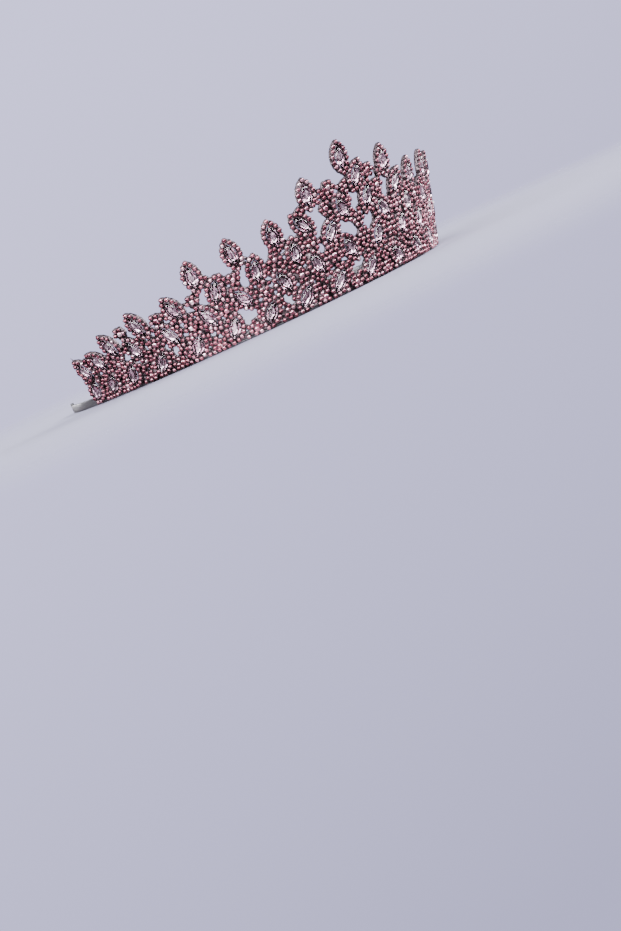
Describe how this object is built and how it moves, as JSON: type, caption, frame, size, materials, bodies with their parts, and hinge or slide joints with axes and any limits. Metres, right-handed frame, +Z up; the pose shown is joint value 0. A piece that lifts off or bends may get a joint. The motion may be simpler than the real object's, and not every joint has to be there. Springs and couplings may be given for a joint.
{
  "type": "bridal crown",
  "caption": "Open-backed bridal crown: a springy metal strip carries a flaring openwork wall of rose marquise stones and small round stones, rising to a peak at the front.",
  "frame": {"origin": "centre of the crown's box, seen from above, at the lower edge of its strip, which it stands on", "axes": "+Z up, the wearer faces -Y, +X to the wearer's left"},
  "size_m": [0.1558, 0.13, 0.0492],
  "materials": {
    "band_metal": "smooth grey plating",
    "dark_metal": "dark gunmetal plating",
    "rose_stone": "cut and polished, foiled behind",
    "small_stone": "cut and polished, foiled behind"
  },
  "bodies": {
    "root": {"headband": "band_metal", "setting_frame": "dark_metal", "second_row_stones": "rose_stone", "lower_row_stones": "rose_stone", "peak_stone": "rose_stone", "peak_side_stone": "rose_stone", "crest_1_right_stone": "rose_stone", "crest_1_left_stone": "rose_stone", "crest_2_right_stone": "rose_stone", "crest_2_left_stone": "rose_stone", "crest_3_right_stone": "rose_stone", "crest_3_left_stone": "rose_stone", "crest_4_right_stone": "rose_stone", "crest_4_left_stone": "rose_stone", "crest_5_right_stone": "rose_stone", "crest_5_left_stone": "rose_stone", "crest_6_right_stone": "rose_stone", "crest_6_left_stone": "rose_stone", "crest_7_right_stone": "rose_stone", "crest_7_left_stone": "rose_stone", "crest_8_right_stone": "rose_stone", "crest_8_left_stone": "rose_stone", "crest_9_right_stone": "rose_stone", "crest_9_left_stone": "rose_stone", "crest_10_right_stone": "rose_stone", "crest_10_left_stone": "rose_stone", "inner_1_right_stone": "rose_stone", "inner_1_left_stone": "rose_stone", "inner_2_right_stone": "rose_stone", "inner_2_left_stone": "rose_stone", "inner_3_right_stone": "rose_stone", "inner_3_left_stone": "rose_stone", "inner_4_right_stone": "rose_stone", "inner_4_left_stone": "rose_stone", "inner_5_right_stone": "rose_stone", "inner_5_left_stone": "rose_stone", "round_stones_right": "small_stone", "round_stones_left": "small_stone"}
  },
  "joints": []
}
